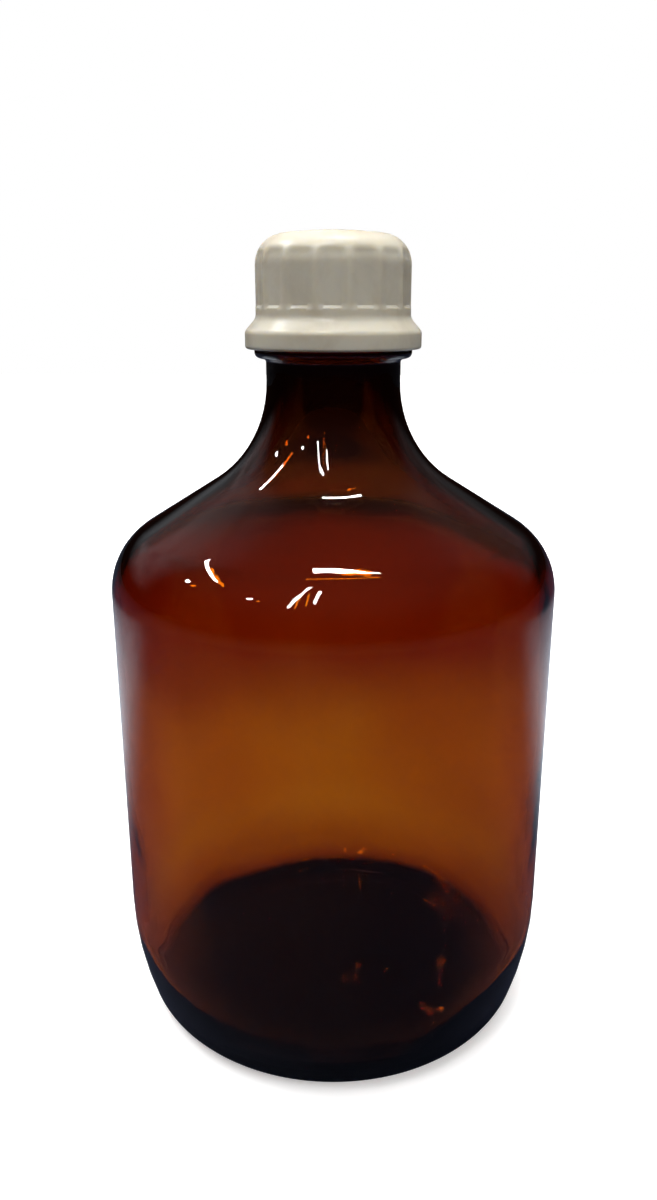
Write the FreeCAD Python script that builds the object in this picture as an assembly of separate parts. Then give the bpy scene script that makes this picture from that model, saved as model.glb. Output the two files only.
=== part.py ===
"""Two-litre amber glass reagent bottle with a ribbed screw cap.

The bottle is one blown glass shell: a heavy heel and a pushed-up base, a straight round side wall,
a rounded shoulder, a sloping cone, a flared neck, a bead, and a screw finish round a plain bore.
The cap is one polyethylene moulding: a fluted grip with a domed top, and a flared skirt that shrouds
the bead. It screws down a right-hand single-start thread onto a two-layer sealing liner.
Millimetres, +Z up. The origin is the middle of the base on the surface that the bottle stands on,
and the cap is screwed down.
"""

import FreeCAD, Part
import math
import os

# ---- glass body -------------------------------------------------------------------------------
body_diameter = 136.4
wall = 3.2  # glass thickness of the side wall, the shoulder and the cone
tuck = 17.6  # degrees that the side wall leans in over the heel
tuck_radius = 97.0  # long curve from the upright side wall into the lean
heel_radius = 10.0  # short curve from the lean down to the bearing ring
inner_tuck_radius = 50.0
inner_tuck_rise = 4.0  # how much higher the inside leans in, which thickens the heel
inner_heel_radius = 9.5
bearing_width = 3.0  # flat ring that the bottle stands on
push_up = 4.5  # how far the outside of the base is pushed up in the middle
floor_thickness = 6.0  # height of the inside floor at its edge
floor_rise = 4.0  # how far the inside floor is domed above its edge
side_wall_height = 103.9  # straight part between the tuck and shoulder curves
shoulder_radius = 21.8
shoulder_slope = 31.9  # degrees above level
flare_radius = 34.8  # outside curve from the cone up into the neck
bore_flare_radius = 39.0  # inside curve from the cone up into the bore

# ---- neck and finish --------------------------------------------------------------------------
neck_diameter = 39.6
neck_length = 6.2  # straight neck between the flare and the bead
bead_width = 3.3  # how far the bead stands out from the neck
bead_height = 4.4
bead_slope = 0.7  # draft of the bead's under and upper sides, in height
bead_rounding = 1.7
neck_fillet = 1.0
finish_height = 27.6  # from the bead's underside to the sealing rim
finish_step = 1.6  # how far the finish is set in from the neck
finish_wall = 3.45  # from the bore to the root of the thread
rim_outer_radius = 1.2
rim_inner_radius = 1.3

# ---- thread, shared by the finish and the cap ---------------------------------------------------
pitch = 4.0
thread_depth = 1.65
thread_crest_width = 1.2
flank_angle = 25.0
finish_thread_turns = 1.75
thread_below_rim = 3.3  # from the rim down to the middle of the finish thread's top end
cap_thread_turns = 1.75
cap_thread_crest_width = 0.8
cap_thread_below_liner = 4.2  # from the liner down to the middle of the cap thread's top end
thread_radial_gap = 0.4  # between each thread's crest and the wall that faces it
thread_load_gap = 0.2  # between the two loaded flanks when the cap is screwed down
thread_run_out = 24.0  # degrees over which each end of a thread fades into its wall
thread_root_sink = 0.5  # how deep a thread is rooted in its wall

# ---- liner ------------------------------------------------------------------------------------
liner_backing_thickness = 1.9
liner_facing_thickness = 0.3
liner_edge_gap = 0.4  # between the liner's rim and the cap's inside wall
seat_gap = 0.05  # between the liner and the glass rim, and between the liner and the cap

# ---- cap --------------------------------------------------------------------------------------
cap_wall = 2.25  # from the cap's bore to the top of a rib
cap_crown = 5.5  # from the liner's seat to the middle of the top
cap_crown_dome = 0.9  # how much lower the top is at its rim
cap_top_radius = 8.5
cap_crown_wall = 2.2  # thickness in the middle of the top, over the core-out
cap_seat_width = 6.35  # ring above the liner's edge, round the core-out
cap_core_out_radius = 2.0
skirt_above_bead_foot = 3.0  # the skirt's edge above the bead's underside
skirt_gap = 0.65  # between the bead and the skirt
skirt_height = 5.0  # straight part of the skirt
skirt_flare_height = 3.6  # from the skirt up to the plain wall of the grip
skirt_wall = 2.0
skirt_flare_radius = 3.0
skirt_shoulder_radius = 2.2
skirt_edge_radius = 0.9
flute_count = 15
flute_depth = 0.7
flute_cutter_radius = 20.0
flute_foot_above_skirt = 12.0  # the flutes' lower end above the skirt's edge
first_rib_angle = -13.0  # degrees from the front, anticlockwise seen from above


def on_profile(r, z):
    """A point of a section: r out from the axis, z up."""
    return FreeCAD.Vector(r, 0, z)


def rounded(corners):
    """Edges along corners (r, z, radius). A radius is limited where two roundings share a short leg."""
    points = [on_profile(r, z) for r, z, radius in corners]
    last = len(points) - 1
    legs = [points[i + 1] - points[i] for i in range(last)]
    half_turns = [0.0] + [legs[i - 1].getAngle(legs[i]) / 2 for i in range(1, last)] + [0.0]
    reach = [c[2] * math.tan(h) for c, h in zip(corners, half_turns)]
    share = [1.0] * len(points)
    for i, leg in enumerate(legs):
        if reach[i] + reach[i + 1] > leg.Length:
            fit = leg.Length / (reach[i] + reach[i + 1])
            share[i] = min(share[i], fit)
            share[i + 1] = min(share[i + 1], fit)
    edges, here = [], points[0]
    for i in range(1, last):
        back = FreeCAD.Vector(legs[i - 1]).normalize()
        onward = FreeCAD.Vector(legs[i]).normalize()
        tangent = reach[i] * share[i]
        if tangent > 1e-6:
            enter, leave = points[i] - back * tangent, points[i] + onward * tangent
            inward = (onward - back).normalize()
            radius = tangent / math.tan(half_turns[i])
            middle = points[i] + inward * (radius / math.cos(half_turns[i]) - radius)
        else:
            enter, leave, middle = points[i], points[i], None
        edges += straight(here, enter)
        if middle is not None:
            edges.append(Part.Arc(enter, middle, leave).toShape())
        here = leave
    return edges + straight(here, points[last])


def straight(start, end):
    """The line between two points as a list of one edge, or of none if they meet."""
    return [Part.makeLine(start, end)] if (end - start).Length > 1e-6 else []


def dome(radius, edge_z, middle_z):
    """The arc from the axis at middle_z out to radius at edge_z, level on the axis."""
    rise = middle_z - edge_z
    sphere = (radius**2 + rise**2) / (2 * rise)
    half = math.asin(radius / sphere) / 2
    between = on_profile(sphere * math.sin(half), middle_z - sphere * (1 - math.cos(half)))
    return Part.Arc(on_profile(0, middle_z), between, on_profile(radius, edge_z)).toShape()


def turned(edges):
    """The solid of revolution of a closed section about the axis."""
    section = Part.Face(Part.Wire(Part.__sortEdges__(edges)))
    return section.revolve(FreeCAD.Vector(0, 0, 0), FreeCAD.Vector(0, 0, 1), 360)


def disc(radius, bottom, thickness):
    return Part.makeCylinder(radius, thickness, FreeCAD.Vector(0, 0, bottom))


def ridge(wall_radius, tip_radius, crest_width, top_z, turns, shift):
    """A right-hand thread, outward if its tip lies outside its wall, that fades out at both ends.

    top_z is the middle of its top end, shift moves it along the axis past the shared helix, and the
    top end's angle follows from both, so that every ridge of one pitch lies on the same helix.
    """
    outward = 1 if tip_radius > wall_radius else -1
    foot_radius = wall_radius - outward * thread_root_sink
    slope = math.tan(math.radians(flank_angle))
    crest_half = crest_width / 2
    foot_half = crest_half + abs(tip_radius - foot_radius) * slope
    bottom_z = top_z - turns * pitch
    section = Part.makePolygon(
        [
            on_profile(foot_radius, -foot_half),
            on_profile(tip_radius, -crest_half),
            on_profile(tip_radius, crest_half),
            on_profile(foot_radius, foot_half),
            on_profile(foot_radius, -foot_half),
        ]
    )
    helix = Part.makeHelix(pitch, turns * pitch, wall_radius)
    sweep = Part.Wire(helix.Edges).makePipeShell([section], True, True)
    for end_angle, along in ((0.0, 1), (turns * 360, -1)):
        sweep = sweep.cut(run_out(wall_radius, tip_radius, outward, end_angle, along))
    sweep.translate(FreeCAD.Vector(0, 0, bottom_z))
    start_angle = (bottom_z - shift) / pitch * 360
    sweep.rotate(FreeCAD.Vector(0, 0, 0), FreeCAD.Vector(0, 0, 1), start_angle)
    return sweep


def run_out(wall_radius, tip_radius, outward, end_angle, along):
    """The block that bevels a thread's end, from its wall at end_angle to its crest further along."""

    def at(radius, degrees):
        turn = math.radians(end_angle + along * degrees)
        return FreeCAD.Vector(radius * math.cos(turn), radius * math.sin(turn), 0)

    low, high = at(wall_radius, 0), at(tip_radius, thread_run_out)
    up_the_bevel = (high - low).normalize()
    off_the_bevel = FreeCAD.Vector(-up_the_bevel.y, up_the_bevel.x, 0)
    if off_the_bevel.dot(low) * outward < 0:
        off_the_bevel = off_the_bevel * -1
    start = low - up_the_bevel * (high - low).Length
    thick = off_the_bevel * 3 * abs(tip_radius - wall_radius)
    face = Part.Face(Part.makePolygon([start, high, high + thick, start + thick, start]))
    face.translate(FreeCAD.Vector(0, 0, end_angle / 360 * pitch - pitch / 2))
    return face.extrude(FreeCAD.Vector(0, 0, pitch))


# ---- places that more than one piece uses -----------------------------------------------------
body_radius = body_diameter / 2
neck_radius = neck_diameter / 2
root_radius = neck_radius - finish_step
bore_radius = root_radius - finish_wall
bead_radius = neck_radius + bead_width
crest_radius = root_radius + thread_depth
tangent_factor = math.tan(math.radians(90 - shoulder_slope) / 2)  # tangent length over radius
climb = math.tan(math.radians(shoulder_slope))

tuck_reach = tuck_radius * math.tan(math.radians(tuck) / 2)
heel_reach = heel_radius * math.tan(math.radians(90 - tuck) / 2)
lean_height = (tuck_reach + heel_reach) * math.cos(math.radians(tuck))
lean_width = (tuck_reach + heel_reach) * math.sin(math.radians(tuck))
bearing_radius = body_radius - lean_width - heel_reach
shoulder_start = lean_height + tuck_reach + side_wall_height
cone_foot = shoulder_start + shoulder_radius * tangent_factor  # where side wall and cone would meet
cone_head = cone_foot + (body_radius - neck_radius) * climb  # where cone and neck would meet
bead_foot = cone_head + flare_radius * tangent_factor + neck_length
rim_z = bead_foot + finish_height
liner_foot = rim_z + seat_gap
liner_seam = liner_foot + liner_facing_thickness
liner_head = liner_seam + liner_backing_thickness
seat_z = liner_head + seat_gap
cap_top = seat_z + cap_crown
skirt_edge = bead_foot + skirt_above_bead_foot
cap_bore_radius = crest_radius + thread_radial_gap
cap_radius = cap_bore_radius + cap_wall
skirt_bore_radius = bead_radius + skirt_gap
skirt_radius = skirt_bore_radius + skirt_wall
liner_radius = cap_bore_radius - liner_edge_gap


def glass_bottle():
    bead_head = bead_foot + bead_height
    outside = [
        (bearing_radius - bearing_width, 0, 0),
        (body_radius - lean_width, 0, heel_radius),
        (body_radius, lean_height, tuck_radius),
        (body_radius, cone_foot, shoulder_radius),
        (neck_radius, cone_head, flare_radius),
        (neck_radius, bead_foot, neck_fillet),
        (bead_radius, bead_foot + bead_slope, bead_rounding),
        (bead_radius, bead_head - bead_slope, bead_rounding),
        (root_radius, bead_head, neck_fillet),
        (root_radius, rim_z, rim_outer_radius),
        (bore_radius, rim_z, rim_inner_radius),
    ]
    thinner = wall / math.cos(math.radians(shoulder_slope))  # the wall, measured straight up
    inner_radius = body_radius - wall
    inner_lean_height = lean_height + inner_tuck_rise
    inner_lean_width = (inner_lean_height - floor_thickness) * math.tan(math.radians(tuck))
    floor_corner = inner_radius - inner_lean_width
    floor_radius = floor_corner - inner_heel_radius * math.tan(math.radians(90 - tuck) / 2)
    inside = [
        (bore_radius, cone_foot + (body_radius - bore_radius) * climb - thinner, bore_flare_radius),
        (inner_radius, cone_foot + wall * climb - thinner, shoulder_radius - wall),
        (inner_radius, inner_lean_height, inner_tuck_radius),
        (floor_corner, floor_thickness, inner_heel_radius),
        (floor_radius, floor_thickness, 0),
    ]
    edges = [dome(bearing_radius - bearing_width, 0, push_up)]
    edges += rounded(outside + inside)
    edges.append(dome(floor_radius, floor_thickness, floor_thickness + floor_rise))
    edges += straight(on_profile(0, floor_thickness + floor_rise), on_profile(0, push_up))
    thread = ridge(
        root_radius, crest_radius, thread_crest_width, rim_z - thread_below_rim, finish_thread_turns, 0
    )
    return turned(edges).fuse(thread)


def screw_cap():
    skirt_head = skirt_edge + skirt_height
    grip_foot = skirt_head + skirt_flare_height
    core_out_radius = cap_bore_radius - cap_seat_width
    top_edge_z = cap_top - cap_crown_dome
    edges = [dome(cap_radius - cap_top_radius, top_edge_z, cap_top)]
    edges += rounded(
        [
            (cap_radius - cap_top_radius, top_edge_z, 0),
            (cap_radius, top_edge_z, cap_top_radius),
            (cap_radius, grip_foot, skirt_flare_radius),
            (skirt_radius, skirt_head, skirt_shoulder_radius),
            (skirt_radius, skirt_edge, skirt_edge_radius),
            (skirt_bore_radius, skirt_edge, skirt_edge_radius / 2),
            (skirt_bore_radius, skirt_head, skirt_edge_radius),
            (cap_bore_radius, grip_foot, skirt_edge_radius),
            (cap_bore_radius, seat_z, 0),
            (core_out_radius, seat_z, 0),
            (core_out_radius, cap_top - cap_crown_wall, cap_core_out_radius),
            (0, cap_top - cap_crown_wall, 0),
            (0, cap_top, 0),
        ]
    )
    shell = turned(edges)
    flute_foot = skirt_edge + flute_foot_above_skirt
    flute = Part.makeCylinder(
        flute_cutter_radius,
        cap_top - flute_foot,
        FreeCAD.Vector(cap_radius + flute_cutter_radius - flute_depth, 0, flute_foot),
    )
    step = 360 / flute_count
    for i in range(flute_count):
        cutter = flute.copy()
        angle = -90 + first_rib_angle + (i + 0.5) * step
        cutter.rotate(FreeCAD.Vector(0, 0, 0), FreeCAD.Vector(0, 0, 1), angle)
        shell = shell.cut(cutter)
    cap_crest_radius = root_radius + thread_radial_gap
    contact = crest_radius - cap_crest_radius
    half_widths = (thread_crest_width + cap_thread_crest_width) / 2
    shift = -(half_widths + contact * math.tan(math.radians(flank_angle)) + thread_load_gap)
    thread = ridge(
        cap_bore_radius,
        cap_crest_radius,
        cap_thread_crest_width,
        liner_foot - cap_thread_below_liner,
        cap_thread_turns,
        shift,
    )
    return shell.fuse(thread)


nodes = {
    "glass_bottle": glass_bottle(),
    "screw_cap": screw_cap(),
    "liner_facing": disc(liner_radius, liner_foot, liner_facing_thickness),
    "liner_backing": disc(liner_radius, liner_seam, liner_backing_thickness),
}

os.makedirs("parts", exist_ok=True)
for name, shape in nodes.items():
    solids = shape.Solids
    if not shape.isValid() or not solids:
        raise RuntimeError(f"{name} is not a valid solid")
    piece = solids[0] if len(solids) == 1 else Part.makeCompound(solids)
    piece.exportStep(f"parts/{name}.step")
    print(f"{name}: {len(solids)} solid, {piece.Volume / 1000:.1f} cm3, to z {piece.BoundBox.ZMax:.2f}")
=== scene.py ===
"""Two-litre amber glass reagent bottle with a ribbed ivory screw cap, on a pale table.

The glass is lathed as one closed shell, its inside is left slightly uneven as blown glass is, and it
gets mould seams and a screw thread. The cap is lathed, fluted round its grip and threaded inside.
Lengths in the tables are millimetres, turned into metres where the pieces are made.
"""

import bpy
import math
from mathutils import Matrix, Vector


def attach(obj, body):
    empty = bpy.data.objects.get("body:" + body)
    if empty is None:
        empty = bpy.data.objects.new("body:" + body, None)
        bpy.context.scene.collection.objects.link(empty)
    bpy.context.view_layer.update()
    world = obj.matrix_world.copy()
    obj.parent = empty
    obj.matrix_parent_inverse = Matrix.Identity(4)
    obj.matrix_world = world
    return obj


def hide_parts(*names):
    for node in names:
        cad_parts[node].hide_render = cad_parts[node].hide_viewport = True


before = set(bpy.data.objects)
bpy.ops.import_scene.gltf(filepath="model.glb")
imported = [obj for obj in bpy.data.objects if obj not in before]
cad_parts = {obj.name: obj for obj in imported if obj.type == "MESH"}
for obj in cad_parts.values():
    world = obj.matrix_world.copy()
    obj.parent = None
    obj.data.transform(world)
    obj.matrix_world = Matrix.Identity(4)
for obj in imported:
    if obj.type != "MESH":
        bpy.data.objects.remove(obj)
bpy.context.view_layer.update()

MM = 0.001


# ---- small tools of the bench ---------------------------------------------------------------------


def clear_selection():
    for ob in bpy.context.selected_objects:
        ob.select_set(False)


def take_up(ob):
    """Selects one object and makes it active, in object mode."""
    clear_selection()
    ob.select_set(True)
    bpy.context.view_layer.objects.active = ob


def pick(ob, mode, wanted):
    """In edit mode, selects the vertices, edges or faces that wanted() says yes to."""
    bpy.ops.mesh.select_mode(type=mode)
    bpy.ops.mesh.select_all(action="DESELECT")
    bpy.ops.object.mode_set(mode="OBJECT")
    me = ob.data
    parts = {"VERT": me.vertices, "EDGE": me.edges, "FACE": me.polygons}[mode]
    for part in parts:
        part.select = not part.hide and wanted(part)
    bpy.ops.object.mode_set(mode="EDIT")


def ends(ob, edge):
    return [ob.data.vertices[i].co for i in edge.vertices]


def marked(ob, group):
    """The numbers of the vertices in a group."""
    number = ob.vertex_groups[group].index
    return {v.index for v in ob.data.vertices if any(g.group == number for g in v.groups)}


def radius_of(co):
    return math.hypot(co.x, co.y) / MM


def bearing(co):
    """Degrees round from the front (-Y), positive towards +X."""
    return math.degrees(math.atan2(co.x, -co.y))


def way(degrees):
    """The level unit vector at a bearing from the front."""
    return Vector((math.sin(math.radians(degrees)), -math.cos(math.radians(degrees)), 0))


def outline(corners, turn=7.5):
    """Points (r, z) along corners (r, z, rounding), with an arc point every few degrees of turn."""
    at = [Vector((r, z)) for r, z, _ in corners]
    legs = [b - a for a, b in zip(at, at[1:])]
    half = [0.0] + [abs(a.angle_signed(b)) / 2 for a, b in zip(legs, legs[1:])] + [0.0]
    reach = [c[2] * math.tan(h) for c, h in zip(corners, half)]
    share = [1.0] * len(at)
    for i, leg in enumerate(legs):
        if reach[i] + reach[i + 1] > leg.length:
            fit = leg.length / (reach[i] + reach[i + 1])
            share[i], share[i + 1] = min(share[i], fit), min(share[i + 1], fit)
    points = [at[0]]
    for i in range(1, len(at) - 1):
        tangent = reach[i] * share[i]
        if tangent < 1e-6:
            points.append(at[i])
            continue
        back, on = legs[i - 1].normalized(), legs[i].normalized()
        rounding = tangent / math.tan(half[i])
        centre = at[i] + (on - back).normalized() * (rounding / math.cos(half[i]))
        first, last = at[i] - back * tangent - centre, at[i] + on * tangent - centre
        sweep = first.angle_signed(last)
        steps = max(2, round(abs(math.degrees(sweep)) / turn))
        for k in range(steps + 1):
            a = -sweep * k / steps
            turned = Vector((first.x * math.cos(a) - first.y * math.sin(a),
                             first.x * math.sin(a) + first.y * math.cos(a)))
            points.append(centre + turned)
    points.append(at[-1])
    return [p for i, p in enumerate(points) if i == 0 or (p - points[i - 1]).length > 1e-4]


def finer(points, longest):
    """The same outline with every run cut into steps no longer than longest."""
    out = [points[0]]
    for a, b in zip(points, points[1:]):
        cuts = max(1, math.ceil((b - a).length / longest))
        out += [a.lerp(b, k / cuts) for k in range(1, cuts + 1)]
    return out


def dome(radius, edge_z, middle_z, steps):
    """Points from the axis at middle_z out to radius at edge_z, on a flat arc."""
    return [Vector((radius * k / steps, middle_z + (edge_z - middle_z) * (k / steps) ** 2))
            for k in range(steps + 1)]


def lathe(name, stretches, steps):
    """One vertex, pulled along an outline and spun round the axis into a closed skin.

    stretches maps a group's name to its run of points (r, z), in order along the outline.
    """
    clear_selection()
    bpy.ops.mesh.primitive_plane_add(size=MM, location=(0, 0, 0))
    ob = bpy.context.object
    ob.name = ob.data.name = name
    bpy.ops.object.mode_set(mode="EDIT")
    bpy.ops.mesh.select_mode(type="VERT")
    bpy.ops.mesh.select_all(action="SELECT")
    bpy.ops.mesh.merge(type="CENTER")
    bpy.ops.mesh.select_all(action="SELECT")
    points = [p for run in stretches.values() for p in run]
    bpy.ops.transform.translate(value=(points[0].x * MM, 0, points[0].y * MM))
    for a, b in zip(points, points[1:]):
        step = ((b.x - a.x) * MM, 0, (b.y - a.y) * MM)
        bpy.ops.mesh.extrude_region_move(TRANSFORM_OT_translate={"value": step})
    bpy.ops.object.mode_set(mode="OBJECT")
    first = 0
    for group, run in stretches.items():
        ob.vertex_groups.new(name=group).add(list(range(first, first + len(run))), 1.0, "REPLACE")
        first += len(run)
    bpy.ops.object.mode_set(mode="EDIT")
    bpy.ops.mesh.select_all(action="SELECT")
    bpy.ops.mesh.spin(steps=steps, angle=math.tau, center=(0, 0, 0), axis=(0, 0, 1))
    bpy.ops.mesh.select_all(action="SELECT")
    bpy.ops.mesh.remove_doubles(threshold=2e-6)
    bpy.ops.mesh.normals_make_consistent(inside=False)
    bpy.ops.object.mode_set(mode="OBJECT")
    return ob


def apply(ob, modifier):
    take_up(ob)
    bpy.ops.object.modifier_apply(modifier=modifier.name)


def soften(ob, degrees):
    take_up(ob)
    bpy.ops.object.shade_smooth_by_angle(angle=math.radians(degrees))


# ---- sizes ----------------------------------------------------------------------------------------

# glass body
body_r = 68.2
wall = 3.2
tuck_lean = 17.6  # degrees that the side wall leans in over the heel
tuck_rounding = 97.0
heel_rounding = 10.0
side_wall = 103.9
shoulder_rounding = 21.8
shoulder_slope = 31.9  # degrees above level
flare_rounding = 34.8
bearing_width = 3.0
push_up = 4.5
floor_z = 6.0
floor_rise = 4.0
inner_tuck_rise = 4.0
inner_tuck_rounding = 50.0
inner_heel_rounding = 9.5

# neck and finish
neck_r = 19.8
neck_length = 6.2
bead_r = 23.1
bead_height = 4.4
bead_slope = 0.7
finish_height = 27.6
root_r = 18.2
crest_r = 19.85
bore_r = 14.75
bore_flare_rounding = 39.0
rim_rounding = 1.3

# threads, which share one helix
pitch = 4.0
thread_turns = 1.75
thread_flank = 25  # degrees from level
thread_gap = 0.4  # crest to the wall that faces it
thread_load_gap = 0.2
glass_crest_width = 1.2
cap_crest_width = 0.8
glass_thread_top = 3.3  # below the rim
cap_thread_top = 4.2  # below the liner's facing

# liner
seat_gap = 0.05
facing_thick = 0.3
backing_room = 1.95  # from the backing's foot to the cap's seat
backing_thick = 1.9
liner_edge_gap = 0.4

# cap
cap_r = 22.5
cap_bore_r = 20.25
cap_crown = 5.5
crown_dome = 0.9
crown_rounding = 8.5
crown_wall = 2.2
seat_width = 6.35
skirt_r = 25.75
skirt_bore_r = 23.75
skirt_above_bead = 3.0
skirt_height = 5.0
skirt_flare = 3.6
flute_count = 15
flute_foot = 11.4  # above the skirt's edge
flute_depth = 0.62
flute_half_width = 5.6  # degrees
flute_fade = 3.0  # reach of the soft edge round a flute
flute_stop = 7.0  # below the top
first_flute = -1.0  # bearing of its middle

# heights and tangent lengths that follow from them
climb = math.tan(math.radians(shoulder_slope))
blend = math.tan(math.radians((90 - shoulder_slope) / 2))
tuck = math.tan(math.radians(tuck_lean))
heel_turn = math.tan(math.radians((90 - tuck_lean) / 2))
tuck_reach = tuck_rounding * math.tan(math.radians(tuck_lean / 2))
heel_reach = heel_rounding * heel_turn
lean_z = (tuck_reach + heel_reach) * math.cos(math.radians(tuck_lean))
cone_foot = lean_z + tuck_reach + side_wall + shoulder_rounding * blend
cone_head = cone_foot + (body_r - neck_r) * climb
bead_z = cone_head + flare_rounding * blend + neck_length
rim_z = bead_z + finish_height
facing_z = rim_z + seat_gap
backing_z = facing_z + facing_thick
seat_z = backing_z + backing_room
top_z = seat_z + cap_crown
skirt_z = bead_z + skirt_above_bead


thread_root = 0.5  # how deep a thread is rooted in its wall
thread_sink = 0.25  # how far its crest goes under the wall at both ends
thread_fade = 7.0  # reach of that sinking along the thread
thread_steps = 90  # a turn
crest_bevel = 0.45


def ridge(name, base, tip, tip_width, top, shift):
    """A thread: a trapezoid screwed up the shared helix, its crest sunk into its wall at both ends.

    base is the radius of the wall that it stands on, and top the height of its upper end.
    """
    out = 1 if tip > base else -1
    foot = base - out * thread_root
    half = tip_width / 2
    foot_half = half + abs(tip - foot) * math.tan(math.radians(thread_flank))
    rise = thread_turns * pitch
    bottom = top - rise
    clear_selection()
    bpy.ops.mesh.primitive_plane_add(size=1, location=(0, 0, 0))
    ob = bpy.context.object
    ob.name = ob.data.name = name
    bpy.ops.object.mode_set(mode="EDIT")
    bpy.ops.transform.rotate(value=math.pi / 2, orient_axis="X", center_override=(0, 0, 0))
    bpy.ops.transform.resize(value=(abs(tip - foot) * MM, 1, 2 * foot_half * MM),
                             center_override=(0, 0, 0))
    bpy.ops.transform.translate(value=((tip + foot) / 2 * MM, 0, 0))
    pick(ob, "VERT", lambda v: (v.co.x / MM - (tip + foot) / 2) * out > 0)
    bpy.ops.transform.resize(value=(1, 1, half / foot_half), center_override=(tip * MM, 0, 0))
    pick(ob, "EDGE", lambda e: all((p.x / MM - (tip + foot) / 2) * out > 0 for p in ends(ob, e)))
    bpy.ops.mesh.bevel(offset=crest_bevel * MM, segments=3, affect="EDGES")
    bpy.ops.mesh.select_all(action="SELECT")
    bpy.ops.transform.translate(value=(0, 0, bottom * MM))
    turn = (bottom - shift) / pitch * math.tau
    bpy.ops.object.mode_set(mode="OBJECT")
    screw = ob.modifiers.new("helix", "SCREW")
    screw.angle = thread_turns * math.tau
    screw.screw_offset = rise * MM
    screw.steps = screw.render_steps = round(thread_turns * thread_steps)
    screw.use_merge_vertices = False
    apply(ob, screw)
    ob.rotation_euler.z = turn
    bpy.ops.object.transform_apply(location=True, rotation=True, scale=True)
    bpy.ops.object.mode_set(mode="EDIT")
    bpy.ops.mesh.select_all(action="SELECT")
    bpy.ops.mesh.select_mode(type="EDGE")
    bpy.ops.mesh.select_all(action="DESELECT")
    bpy.ops.mesh.select_non_manifold(extend=False)
    bpy.ops.mesh.edge_face_add()
    # the root stays where it is while the crest is pushed under the wall
    pick(ob, "VERT", lambda v: (radius_of(v.co) - base) * out < -0.3)
    bpy.ops.mesh.hide(unselected=False)
    for end in (0, 1):
        a = turn + end * thread_turns * math.tau
        z = (bottom + end * rise) * MM
        out_way = Vector((math.cos(a), math.sin(a), 0))
        pick(ob, "VERT", lambda v: abs(v.co.z - z) < (foot_half + 0.02) * MM
             and (v.co - out_way * v.co.dot(out_way)).xy.length < 0.02 * MM and v.co.dot(out_way) > 0)
        push = out_way * (-out * (abs(tip - base) + thread_sink) * MM)
        bpy.ops.transform.translate(
            value=push, use_proportional_edit=True, use_proportional_connected=True,
            proportional_edit_falloff="SMOOTH", proportional_size=thread_fade * MM)
    bpy.ops.mesh.reveal(select=False)
    bpy.ops.mesh.select_all(action="SELECT")
    bpy.ops.mesh.normals_make_consistent(inside=False)
    bpy.ops.object.mode_set(mode="OBJECT")
    return ob


def join_solid(ob, other):
    """Unites a second solid with the first and clears it away."""
    union = ob.modifiers.new("union", "BOOLEAN")
    union.operation = "UNION"
    union.solver = "EXACT"
    union.object = other
    apply(ob, union)
    bpy.data.objects.remove(other)


# ---- glass ----------------------------------------------------------------------------------------


mould_seam = -6.75  # bearing of the seam nearer the front
seam_width = 0.55
seam_height = 0.16


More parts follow.
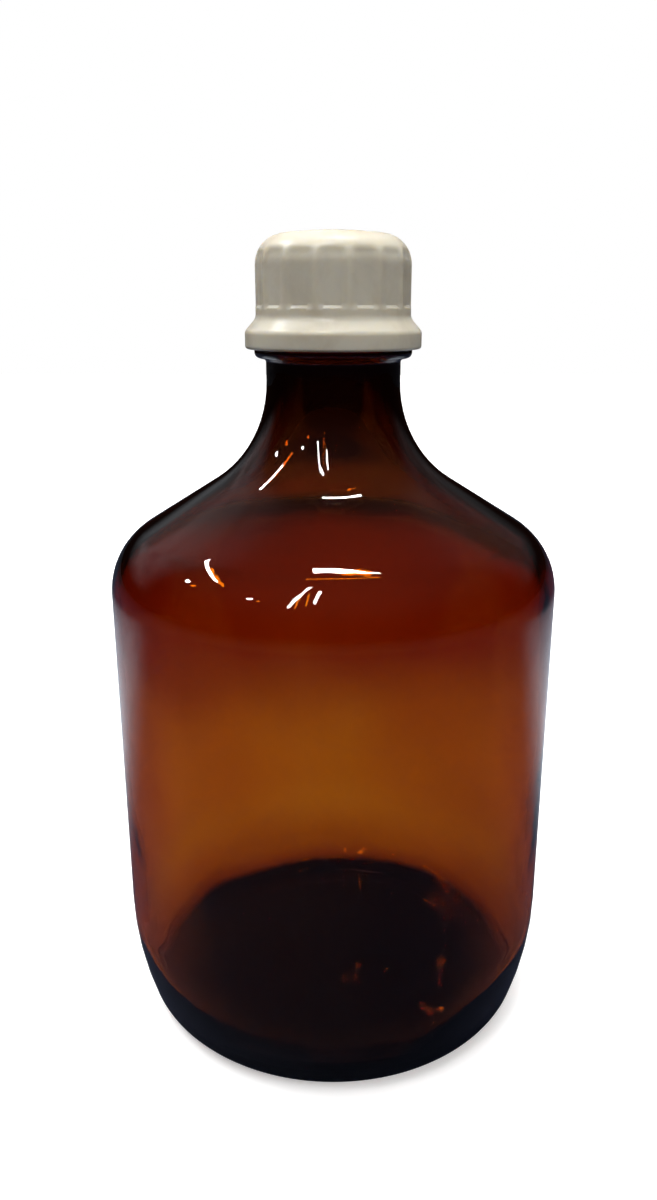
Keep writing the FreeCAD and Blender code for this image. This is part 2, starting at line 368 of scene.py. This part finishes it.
def make_glass():
    heel_corner = body_r - lean_z * tuck
    bearing_r = heel_corner - heel_reach
    bead_top = bead_z + bead_height
    inner_r = body_r - wall
    inner_lean_z = lean_z + inner_tuck_rise
    floor_corner = inner_r - (inner_lean_z - floor_z) * tuck
    floor_r = floor_corner - inner_heel_rounding * heel_turn
    lift = wall / math.cos(math.radians(shoulder_slope))
    base = dome(bearing_r - bearing_width, 0.0, push_up, 14)
    outside = outline([
        (bearing_r - bearing_width, 0, 0),
        (heel_corner, 0, heel_rounding),
        (body_r, lean_z, tuck_rounding),
        (body_r, cone_foot, shoulder_rounding),
        (neck_r, cone_head, flare_rounding),
        (neck_r, bead_z, 1.0),
        (bead_r, bead_z + bead_slope, 1.7),
        (bead_r, bead_top - bead_slope, 1.7),
        (root_r, bead_top, 1.0),
        (root_r, rim_z, 1.2),
        (bore_r + 2, rim_z, 0),
    ], 5)
    inside = outline([
        (bore_r + 1.6, rim_z, 0),
        (bore_r, rim_z, rim_rounding),
        (bore_r, cone_foot + (body_r - bore_r) * climb - lift, bore_flare_rounding),
        (inner_r, cone_foot + wall * climb - lift, shoulder_rounding - wall),
        (inner_r, inner_lean_z, inner_tuck_rounding),
        (floor_corner, floor_z, inner_heel_rounding),
        (floor_r, floor_z, 0),
    ], 5)
    floor = list(reversed(dome(floor_r, floor_z, floor_z + floor_rise, 14)))
    ob = lathe("bottle_glass", {
        "base": base[:-1],
        "outside": finer(outside, 4.0),
        "inside": finer(inside, 4.0),
        "floor": floor[1:],
    }, 160)
    # the two halves of the mould leave a fine raised line down each side
    for seam in (mould_seam, mould_seam + 180):
        take_up(ob)
        bpy.ops.object.mode_set(mode="EDIT")
        skin = marked(ob, "outside")
        pick(ob, "EDGE", lambda e: all(i in skin for i in e.vertices) and all(
            abs(bearing(p) - seam) < 0.3 and p.z < (bead_z + 6) * MM for p in ends(ob, e)))
        bpy.ops.mesh.bevel(offset=seam_width * MM, segments=2, affect="EDGES")
        skin = marked(ob, "outside")
        pick(ob, "VERT", lambda v: v.index in skin and abs(bearing(v.co) - seam) < 0.05
             and 8 * MM < v.co.z < (bead_z - 1) * MM)
        bpy.ops.transform.translate(value=way(seam) * seam_height * MM)
        bpy.ops.object.mode_set(mode="OBJECT")
    # blown glass is uneven inside, though not up in the pressed finish
    blown = ob.vertex_groups.new(name="blown")
    for i in marked(ob, "inside"):
        share = (cone_head + 10.0 - ob.data.vertices[i].co.z / MM) / 25.0
        blown.add([i], min(max(share, 0.0), 1.0), "REPLACE")
    waves = bpy.data.textures.new("slow waves in the glass", "CLOUDS")
    waves.noise_scale = 0.045
    waves.noise_depth = 1
    uneven = ob.modifiers.new("uneven inside", "DISPLACE")
    uneven.texture = waves
    uneven.texture_coords = "LOCAL"
    uneven.strength = 1.1 * MM
    uneven.mid_level = 0.5
    uneven.vertex_group = "blown"
    apply(ob, uneven)
    thread = ridge("finish_thread", root_r, crest_r, glass_crest_width,
                   rim_z - glass_thread_top, 0)
    join_solid(ob, thread)
    soften(ob, 40)
    return ob


# ---- cap ------------------------------------------------------------------------------------------


def make_cap():
    skirt_top = skirt_z + skirt_height
    grip_foot = skirt_top + skirt_flare
    seat_r = cap_bore_r - seat_width
    outside = outline([
        (cap_r - crown_rounding, top_z - crown_dome, 0),
        (cap_r, top_z - crown_dome, crown_rounding),
        (cap_r, grip_foot, 3.0),
        (skirt_r, skirt_top, 2.2),
        (skirt_r, skirt_z, 0.9),
        (skirt_bore_r, skirt_z, 0.45),
        (skirt_bore_r, skirt_z + 0.6, 0),
    ], 6)
    inside = outline([
        (skirt_bore_r, skirt_z + 0.8, 0),
        (skirt_bore_r, skirt_top, 0.9),
        (cap_bore_r, grip_foot, 0.9),
        (cap_bore_r, seat_z, 0.0),
        (seat_r, seat_z, 0.3),
        (seat_r, top_z - crown_wall, 2.0),
        (0, top_z - crown_wall, 0),
    ], 10)
    ob = lathe("cap", {
        "crown": dome(cap_r - crown_rounding, top_z - crown_dome, top_z, 10)[:-1],
        "outside": finer(outside, 0.8),
        "inside": finer(inside, 2.0),
    }, 240)
    # shallow flutes: strips of the wall pressed in, each with a crisp lower ledge
    take_up(ob)
    bpy.ops.object.mode_set(mode="EDIT")
    skin = marked(ob, "outside")
    ledge = skirt_z + flute_foot
    pick(ob, "VERT", lambda v: v.index not in skin or v.co.z < ledge * MM)
    bpy.ops.mesh.hide(unselected=False)
    for k in range(flute_count):
        middle = first_flute + 360.0 / flute_count * k
        pick(ob, "VERT", lambda v:
             abs((bearing(v.co) - middle + 180) % 360 - 180) < flute_half_width
             and (ledge + 0.1) * MM < v.co.z < (top_z - flute_stop) * MM)
        bpy.ops.transform.translate(
            value=way(middle) * -flute_depth * MM, use_proportional_edit=True,
            proportional_size=flute_fade * MM, proportional_edit_falloff="SMOOTH",
            use_proportional_connected=False)
    bpy.ops.mesh.reveal(select=False)
    bpy.ops.object.mode_set(mode="OBJECT")
    overlap = (crest_r - root_r - thread_gap) * math.tan(math.radians(thread_flank))
    shift = -((glass_crest_width + cap_crest_width) / 2 + overlap + thread_load_gap)
    thread = ridge("cap_thread", cap_bore_r, root_r + thread_gap, cap_crest_width,
                   facing_z - cap_thread_top, shift)
    join_solid(ob, thread)
    soften(ob, 35)
    return ob


# ---- liner ----------------------------------------------------------------------------------------


def make_liner():
    edge = cap_bore_r - liner_edge_gap
    back_top = backing_z + backing_thick
    film_top = facing_z + facing_thick
    back = lathe("liner_foam_disc", {"skin": outline([
        (0, back_top, 0), (edge, back_top, 0.35),
        (edge, backing_z, 0.15), (0, backing_z, 0),
    ], 30)}, 96)
    # the rim of the glass has pressed a shallow ring into the film
    film = lathe("liner_facing_disc", {"skin": finer(outline([
        (0, film_top, 0), (edge, film_top, 0.05), (edge, facing_z, 0.1),
        (17.6, facing_z, 0.1), (17.2, facing_z + 0.1, 0.2), (15.9, facing_z + 0.1, 0.2),
        (15.4, facing_z, 0.1), (0, facing_z, 0),
    ], 30), 2.0)}, 96)
    soften(back, 35)
    soften(film, 35)
    return back, film


bottle = make_glass()
cap = make_cap()
backing, facing = make_liner()

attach(bottle, "bottle")
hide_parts("glass_bottle")
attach(cap, "cap")
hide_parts("screw_cap")
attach(backing, "liner")
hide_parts("liner_backing")
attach(facing, "liner")
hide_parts("liner_facing")


# ---- finishes ---------------------------------------------------------------------------------------


def node(nt, kind, at, **inputs):
    """Adds a shader node and sets its plain inputs by name."""
    n = nt.nodes.new(kind)
    n.location = at
    for name, value in inputs.items():
        n.inputs[name.replace("_", " ")].default_value = value
    return n


def effect(name, sockets_in, sockets_out):
    """A node group with float inputs and outputs, for an effect that several finishes share."""
    group = bpy.data.node_groups.new(name, "ShaderNodeTree")
    for label, value in sockets_in:
        socket = group.interface.new_socket(label, in_out="INPUT",
                                            socket_type="NodeSocketFloat")
        socket.default_value = value
    for label in sockets_out:
        group.interface.new_socket(label, in_out="OUTPUT", socket_type="NodeSocketFloat")
    return group, group.nodes.new("NodeGroupInput"), group.nodes.new("NodeGroupOutput")


def make_handling_marks():
    """Patches of light handling and fine scuffs, each from 0 to 1, for anything that is picked up."""
    group, given, out = effect("handling marks", [("Patch Scale", 30.0), ("Scuff Scale", 300.0)],
                               ["Patches", "Scuffs"])
    place = group.nodes.new("ShaderNodeTexCoord")
    patches = node(group, "ShaderNodeTexNoise", (0, 200), Detail=5.0, Roughness=0.62, Distortion=0.4)
    patch_range = node(group, "ShaderNodeMapRange", (200, 200), From_Min=0.42, From_Max=0.72)
    stretch = node(group, "ShaderNodeMapping", (-200, -100),
                   Scale=(1.0, 1.0, 0.22), Rotation=(0.5, 0.3, 0.0))
    scuffs = node(group, "ShaderNodeTexNoise", (0, -100), Detail=3.0, Roughness=0.5, Distortion=1.5)
    scuff_range = node(group, "ShaderNodeMapRange", (200, -100), From_Min=0.60, From_Max=0.74)
    link = group.links.new
    link(place.outputs["Object"], patches.inputs["Vector"])
    link(given.outputs["Patch Scale"], patches.inputs["Scale"])
    link(patches.outputs["Fac"], patch_range.inputs["Value"])
    link(patch_range.outputs["Result"], out.inputs["Patches"])
    link(place.outputs["Object"], stretch.inputs["Vector"])
    link(stretch.outputs["Vector"], scuffs.inputs["Vector"])
    link(given.outputs["Scuff Scale"], scuffs.inputs["Scale"])
    link(scuffs.outputs["Fac"], scuff_range.inputs["Value"])
    link(scuff_range.outputs["Result"], out.inputs["Scuffs"])
    return group


handling = make_handling_marks()


def finish(name):
    """A new material with a Principled shader, its tree and its output."""
    mat = bpy.data.materials.new(name)
    mat.use_nodes = True
    nt = mat.node_tree
    nt.nodes.clear()
    out = node(nt, "ShaderNodeOutputMaterial", (600, 0))
    shader = node(nt, "ShaderNodeBsdfPrincipled", (300, 0))
    nt.links.new(shader.outputs["BSDF"], out.inputs["Surface"])
    return mat, nt, shader, out


def marks_for(nt, patch_scale, scuff_scale):
    """The shared handling marks in a material, at that material's own scales."""
    marks = node(nt, "ShaderNodeGroup", (-600, 0))
    marks.node_tree = handling
    marks.inputs["Patch Scale"].default_value = patch_scale
    marks.inputs["Scuff Scale"].default_value = scuff_scale
    return marks


def amber_glass():
    mat, nt, shader, out = finish("amber glass")
    link = nt.links.new
    shader.inputs["Base Color"].default_value = (1, 1, 1, 1)
    shader.inputs["Transmission Weight"].default_value = 1.0
    shader.inputs["IOR"].default_value = 1.52
    marks = marks_for(nt, 22.0, 240.0)
    dull = node(nt, "ShaderNodeMath", (-350, 100))
    dull.operation = "MULTIPLY_ADD"
    dull.inputs[1].default_value = 0.045
    dull.inputs[2].default_value = 0.0
    link(marks.outputs["Scuffs"], dull.inputs[0])
    link(dull.outputs[0], shader.inputs["Roughness"])
    # the skin of blown glass: long slow waves with a little ripple over them
    place = node(nt, "ShaderNodeTexCoord", (-900, -300))
    waves = node(nt, "ShaderNodeTexNoise", (-600, -250), Scale=38.0, Detail=1.0, Roughness=0.4)
    ripple = node(nt, "ShaderNodeTexNoise", (-600, -450), Scale=160.0, Detail=2.0, Roughness=0.5)
    slow = node(nt, "ShaderNodeBump", (-350, -250), Strength=0.55, Distance=0.00035)
    fine = node(nt, "ShaderNodeBump", (-100, -300), Strength=0.25, Distance=0.00006)
    link(place.outputs["Object"], waves.inputs["Vector"])
    link(place.outputs["Object"], ripple.inputs["Vector"])
    link(waves.outputs["Fac"], slow.inputs["Height"])
    link(ripple.outputs["Fac"], fine.inputs["Height"])
    link(slow.outputs["Normal"], fine.inputs["Normal"])
    link(fine.outputs["Normal"], shader.inputs["Normal"])
    stain = node(nt, "ShaderNodeVolumeAbsorption", (300, -400))
    stain.inputs["Color"].default_value = (0.87, 0.66, 0.0, 1)
    stain.inputs["Density"].default_value = 1100.0
    link(stain.outputs["Volume"], out.inputs["Volume"])
    return mat


def ivory_plastic():
    mat, nt, shader, _ = finish("ivory polyethylene")
    link = nt.links.new
    marks = marks_for(nt, 70.0, 700.0)
    yellow = node(nt, "ShaderNodeMix", (-300, 250))
    yellow.data_type = "RGBA"
    yellow.inputs["A"].default_value = (0.60, 0.56, 0.465, 1)
    yellow.inputs["B"].default_value = (0.50, 0.45, 0.355, 1)
    link(marks.outputs["Patches"], yellow.inputs["Factor"])
    # painted shade: the cap's colour goes darker in its recesses and creases, following ambient
    # occlusion
    hollow_shade = node(nt, "ShaderNodeAmbientOcclusion", (-600, 450), Distance=0.004)
    hollow_shade.samples = 8
    shade_share = node(nt, "ShaderNodeMapRange", (-350, 480), From_Min=0.30, From_Max=0.80)
    shaded_colour = node(nt, "ShaderNodeMix", (-80, 300))
    shaded_colour.data_type = "RGBA"
    shaded_colour.inputs["A"].default_value = (0.45, 0.39, 0.29, 1)
    link(hollow_shade.outputs["AO"], shade_share.inputs["Value"])
    link(shade_share.outputs["Result"], shaded_colour.inputs["Factor"])
    link(yellow.outputs["Result"], shaded_colour.inputs["B"])
    link(shaded_colour.outputs["Result"], shader.inputs["Base Color"])
    dull = node(nt, "ShaderNodeMapRange", (-300, 50), To_Min=0.30, To_Max=0.46)
    link(marks.outputs["Scuffs"], dull.inputs["Value"])
    link(dull.outputs["Result"], shader.inputs["Roughness"])
    place = node(nt, "ShaderNodeTexCoord", (-900, -300))
    skin = node(nt, "ShaderNodeTexNoise", (-600, -300), Scale=900.0, Detail=3.0, Roughness=0.6)
    sink = node(nt, "ShaderNodeTexNoise", (-600, -500), Scale=70.0, Detail=1.0)
    grain = node(nt, "ShaderNodeBump", (-100, -300), Strength=0.12, Distance=0.0001)
    dip = node(nt, "ShaderNodeBump", (-350, -300), Strength=0.35, Distance=0.0004)
    link(place.outputs["Object"], skin.inputs["Vector"])
    link(place.outputs["Object"], sink.inputs["Vector"])
    link(sink.outputs["Fac"], dip.inputs["Height"])
    link(skin.outputs["Fac"], grain.inputs["Height"])
    link(dip.outputs["Normal"], grain.inputs["Normal"])
    link(grain.outputs["Normal"], shader.inputs["Normal"])
    shader.inputs["Subsurface Weight"].default_value = 0.6
    shader.inputs["Subsurface Radius"].default_value = (1.0, 0.8, 0.5)
    shader.inputs["Subsurface Scale"].default_value = 0.004
    shader.inputs["IOR"].default_value = 1.5
    return mat


def liner_foam():
    mat, nt, shader, _ = finish("foamed liner")
    link = nt.links.new
    marks = marks_for(nt, 90.0, 500.0)
    place = node(nt, "ShaderNodeTexCoord", (-900, -200))
    cells = node(nt, "ShaderNodeTexVoronoi", (-600, -200), Scale=1800.0)
    tint = node(nt, "ShaderNodeMix", (-300, 200))
    tint.data_type = "RGBA"
    tint.inputs["A"].default_value = (0.80, 0.79, 0.75, 1)
    tint.inputs["B"].default_value = (0.66, 0.63, 0.55, 1)
    pores = node(nt, "ShaderNodeBump", (-100, -200), Strength=0.5, Distance=0.0002)
    link(marks.outputs["Patches"], tint.inputs["Factor"])
    link(tint.outputs["Result"], shader.inputs["Base Color"])
    link(place.outputs["Object"], cells.inputs["Vector"])
    link(cells.outputs["Distance"], pores.inputs["Height"])
    link(pores.outputs["Normal"], shader.inputs["Normal"])
    shader.inputs["Roughness"].default_value = 0.75
    return mat


def liner_film():
    mat, nt, shader, _ = finish("liner film")
    link = nt.links.new
    marks = marks_for(nt, 60.0, 400.0)
    tint = node(nt, "ShaderNodeMix", (-300, 200))
    tint.data_type = "RGBA"
    tint.inputs["A"].default_value = (0.84, 0.84, 0.82, 1)
    tint.inputs["B"].default_value = (0.74, 0.72, 0.66, 1)
    dull = node(nt, "ShaderNodeMapRange", (-300, 0), To_Min=0.22, To_Max=0.4)
    place = node(nt, "ShaderNodeTexCoord", (-900, -200))
    crease = node(nt, "ShaderNodeTexNoise", (-600, -200), Scale=220.0, Detail=2.0)
    dimple = node(nt, "ShaderNodeBump", (-100, -200), Strength=0.2, Distance=0.0001)
    link(marks.outputs["Patches"], tint.inputs["Factor"])
    link(tint.outputs["Result"], shader.inputs["Base Color"])
    link(marks.outputs["Scuffs"], dull.inputs["Value"])
    link(dull.outputs["Result"], shader.inputs["Roughness"])
    link(place.outputs["Object"], crease.inputs["Vector"])
    link(crease.outputs["Fac"], dimple.inputs["Height"])
    link(dimple.outputs["Normal"], shader.inputs["Normal"])
    return mat


def give(ob, mat):
    """Makes mat the object's only material."""
    ob.data.materials.clear()
    ob.data.materials.append(mat)


give(bottle, amber_glass())
give(cap, ivory_plastic())
give(backing, liner_foam())
give(facing, liner_film())


# ---- table, light and camera ------------------------------------------------------------------------

# The camera sees a plain white table and room. Light through the glass or off it meets dimmer,
# faded tones instead: TABLE_ through the glass, MIRROR_ off it, ROOM_ for either. The TABLE_ tones
# are painted light and shade, a pool of light just behind the bottle that fades to dark in front and
# far back, with a painted shadow under the bottle; the MIRROR_ tones are painted reflections.
# ROOM_FILL lights the pieces that aren't glass.
TABLE_WHITE = (0.90, 0.90, 0.91)
TABLE_NEAR = (0.44, 0.50, 0.40)
TABLE_MID = (0.17, 0.032, 0.014)
TABLE_FAR = (0.03, 0.008, 0.005)
TABLE_FRONT = (0.05, 0.05, 0.05)
TABLE_SHADOW = (0.004, 0.004, 0.007)
# painted reflections: the tones of the table that the glass mirrors
MIRROR_FRONT = (0.020, 0.024, 0.045)
MIRROR_BEHIND = (0.33, 0.37, 0.43)
ROOM_LOW = (0.010, 0.004, 0.003)
ROOM_TOP = (0.07, 0.065, 0.06)
ROOM_DAYLIGHT = (0.30, 0.31, 0.33)
ROOM_FILL = (0.20, 0.19, 0.17)


def blend_colours(nt, share, first, second):
    """Mixes two colours (each a plain colour or a socket) by a socket from 0 to 1."""
    mix = node(nt, "ShaderNodeMix", (0, 0))
    mix.data_type = "RGBA"
    nt.links.new(share, mix.inputs["Factor"])
    for name, colour in (("A", first), ("B", second)):
        socket = [i for i in mix.inputs if i.name == name and i.type == "RGBA"][0]
        if isinstance(colour, tuple):
            socket.default_value = (*colour, 1)
        else:
            nt.links.new(colour, socket)
    return [o for o in mix.outputs if o.type == "RGBA"][0]


def along(nt, value, start, stop):
    """0 before start and 1 after stop, smooth between."""
    ramp = node(nt, "ShaderNodeMapRange", (-300, 0), From_Min=start, From_Max=stop)
    ramp.interpolation_type = "SMOOTHSTEP"
    nt.links.new(value, ramp.inputs["Value"])
    return ramp.outputs["Result"]


def make_table():
    """A plain pale table. Through the glass and off it, it is dimmer, in painted light and shade that
    fade to front and back.
    """
    clear_selection()
    bpy.ops.mesh.primitive_plane_add(size=6.0, location=(0, 0, 0))
    ob = bpy.context.object
    ob.name = ob.data.name = "table"
    bpy.ops.object.mode_set(mode="EDIT")
    bpy.ops.mesh.select_all(action="SELECT")
    bpy.ops.transform.translate(value=(0, 0, -0.0001))
    bpy.ops.object.mode_set(mode="OBJECT")
    mat, nt, shader, _ = finish("pale table")
    link = nt.links.new
    place = node(nt, "ShaderNodeTexCoord", (-1400, 0)).outputs["Object"]
    cloud = node(nt, "ShaderNodeTexNoise", (-1200, -200), Scale=6.0, Detail=2.0)
    tone = node(nt, "ShaderNodeMapRange", (-200, -200), To_Min=0.55, To_Max=0.65)
    link(place, cloud.inputs["Vector"])
    link(cloud.outputs["Fac"], tone.inputs["Value"])
    link(tone.outputs["Result"], shader.inputs["Roughness"])
    at = node(nt, "ShaderNodeSeparateXYZ", (-1000, 300))
    link(place, at.inputs["Vector"])
    y = at.outputs["Y"]
    reach = node(nt, "ShaderNodeVectorMath", (-1000, 500))
    reach.operation = "LENGTH"
    link(place, reach.inputs[0])
    # seen through the glass: a painted pool of light just behind the bottle, dark in front and far
    # back, and a painted shadow under the bottle
    behind = blend_colours(nt, along(nt, y, 0.10, 0.34), TABLE_NEAR, TABLE_MID)
    far = blend_colours(nt, along(nt, y, 0.55, 1.15), behind, TABLE_FAR)
    lit = blend_colours(nt, along(nt, y, -0.09, -0.02), TABLE_FRONT, far)
    through = blend_colours(nt, along(nt, reach.outputs["Value"], 0.061, 0.067), TABLE_SHADOW, lit)
    # mirrored in the glass: painted reflections, grey just behind the bottle, dark in front and far
    # off
    sheen = node(nt, "ShaderNodeMath", (-700, 300))
    sheen.operation = "MULTIPLY"
    link(along(nt, y, 0.04, 0.20), sheen.inputs[0])
    link(along(nt, reach.outputs["Value"], 0.60, 0.30), sheen.inputs[1])
    mirrored = blend_colours(nt, sheen.outputs[0], MIRROR_FRONT, MIRROR_BEHIND)
    ray = node(nt, "ShaderNodeLightPath", (-400, 500))
    other = blend_colours(nt, ray.outputs["Is Transmission Ray"], mirrored, through)
    seen = blend_colours(nt, ray.outputs["Is Camera Ray"], other, TABLE_WHITE)
    link(seen, shader.inputs["Base Color"])
    # the lamps fade with distance, so the table far from the bottle gives its own white
    glow = node(nt, "ShaderNodeMapRange", (-400, 700),
                From_Min=0.25, From_Max=0.8, To_Min=0.42, To_Max=1.2)
    link(reach.outputs["Value"], glow.inputs["Value"])
    lift = node(nt, "ShaderNodeMath", (-200, 700))
    lift.operation = "MULTIPLY"
    link(ray.outputs["Is Camera Ray"], lift.inputs[0])
    link(glow.outputs["Result"], lift.inputs[1])
    link(lift.outputs[0], shader.inputs["Emission Strength"])
    shader.inputs["Emission Color"].default_value = (1, 1, 1, 1)
    shader.inputs["Specular IOR Level"].default_value = 0.2
    give(ob, mat)


def make_room():
    """White behind for the camera; for all else a dark room with grey daylight behind on the left."""
    world = bpy.data.worlds.new("room")
    bpy.context.scene.world = world
    world.use_nodes = True
    nt = world.node_tree
    nt.nodes.clear()
    link = nt.links.new
    out = node(nt, "ShaderNodeOutputWorld", (900, 0))
    place = node(nt, "ShaderNodeTexCoord", (-900, 0))
    split = node(nt, "ShaderNodeSeparateXYZ", (-700, 100))
    link(place.outputs["Generated"], split.inputs["Vector"])
    clutter = node(nt, "ShaderNodeTexNoise", (-700, -200), Scale=4.5, Detail=3.0, Roughness=0.6)
    link(place.outputs["Generated"], clutter.inputs["Vector"])
    behind_us = along(nt, split.outputs["Y"], 0.22, 0.60)
    above = along(nt, split.outputs["Z"], 0.08, 0.30)
    to_left = node(nt, "ShaderNodeMapRange", (-450, 300),
                   From_Min=-0.35, From_Max=0.15, To_Min=1.0, To_Max=0.3)
    link(split.outputs["X"], to_left.inputs["Value"])
    uneven = node(nt, "ShaderNodeMapRange", (-450, -200),
                  From_Min=0.3, From_Max=0.7, To_Min=0.45, To_Max=1.2)
    link(clutter.outputs["Fac"], uneven.inputs["Value"])
    daylight = behind_us
    for share in (above, to_left.outputs["Result"], uneven.outputs["Result"]):
        both = node(nt, "ShaderNodeMath", (-250, 200))
        both.operation = "MULTIPLY"
        link(daylight, both.inputs[0])
        link(share, both.inputs[1])
        daylight = both.outputs[0]
    walls = blend_colours(nt, along(nt, split.outputs["Z"], 0.25, 0.95), ROOM_LOW, ROOM_TOP)
    lit = blend_colours(nt, daylight, walls, ROOM_DAYLIGHT)
    seen = node(nt, "ShaderNodeLightPath", (50, 400))
    shown = blend_colours(nt, seen.outputs["Is Diffuse Ray"], lit, ROOM_FILL)
    around = node(nt, "ShaderNodeBackground", (400, 0), Strength=1.0)
    # the room is dimmer still through the glass
    dusk = node(nt, "ShaderNodeMapRange", (200, 300), To_Min=1.0, To_Max=0.5)
    link(seen.outputs["Is Transmission Ray"], dusk.inputs["Value"])
    link(dusk.outputs["Result"], around.inputs["Strength"])
    behind = node(nt, "ShaderNodeBackground", (400, -200), Strength=1.0)
    behind.inputs["Color"].default_value = (1, 1, 1, 1)
    pick_one = node(nt, "ShaderNodeMixShader", (650, 0))
    link(shown, around.inputs["Color"])
    link(seen.outputs["Is Camera Ray"], pick_one.inputs["Fac"])
    link(around.outputs["Background"], pick_one.inputs[1])
    link(behind.outputs["Background"], pick_one.inputs[2])
    link(pick_one.outputs["Shader"], out.inputs["Surface"])


def lamp(name, at, aim, size, strength, mirrored=True):
    """A flat lamp at a place, facing aim. One that isn't mirrored doesn't show in the glass."""
    data = bpy.data.lights.new(name, "AREA")
    data.shape = "RECTANGLE"
    data.size, data.size_y = size
    data.energy = strength
    ob = bpy.data.objects.new(name, data)
    bpy.context.collection.objects.link(ob)
    ob.location = at
    turn = (Vector(aim) - Vector(at)).to_track_quat("-Z", "Y")
    ob.rotation_euler = turn.to_euler()
    ob.visible_glossy = mirrored
    ob.visible_transmission = mirrored
    ob.visible_camera = False


make_table()
make_room()

# two soft fills, then the strips and bulbs that show in the glass
shoulder = (0, 0, 0.17)
lamp("overhead fill", (0.0, 0.25, 1.5), (0, 0.05, 0), (1.6, 1.6), 31, mirrored=False)
lamp("right fill", (1.0, -0.8, 0.7), (0, 0, 0.2), (0.6, 0.6), 4.5, mirrored=False)
lamp("ceiling strip", (0.10, 0.17, 1.60), (0.10, 0.17, 0), (0.46, 0.028), 5)
lamp("left strip", (-0.86, 0.26, 1.25), shoulder, (0.66, 0.03), 5)
lamp("front strip", (-0.32, -0.66, 1.28), shoulder, (0.035, 0.75), 4)
lamp("front strip beside", (-0.14, -0.68, 1.28), shoulder, (0.03, 0.45), 2.5)
lamp("left bulb", (-1.08, 0.10, 1.00), shoulder, (0.06, 0.06), 1.2)
lamp("front bulb", (-0.80, -0.62, 1.15), shoulder, (0.05, 0.05), 1.0)

camera_pitch = 17.2  # degrees down
bpy.ops.object.camera_add(location=(0, -0.2881, 0.2229),
                          rotation=(math.radians(90 - camera_pitch), 0, 0))
camera = bpy.context.object
camera.name = "camera"
camera.data.lens = 28.5
camera.data.sensor_width = 36
camera.data.shift_x = -0.004
camera.data.clip_start = 0.01
bpy.context.scene.camera = camera
bpy.context.scene.view_settings.view_transform = "Standard"
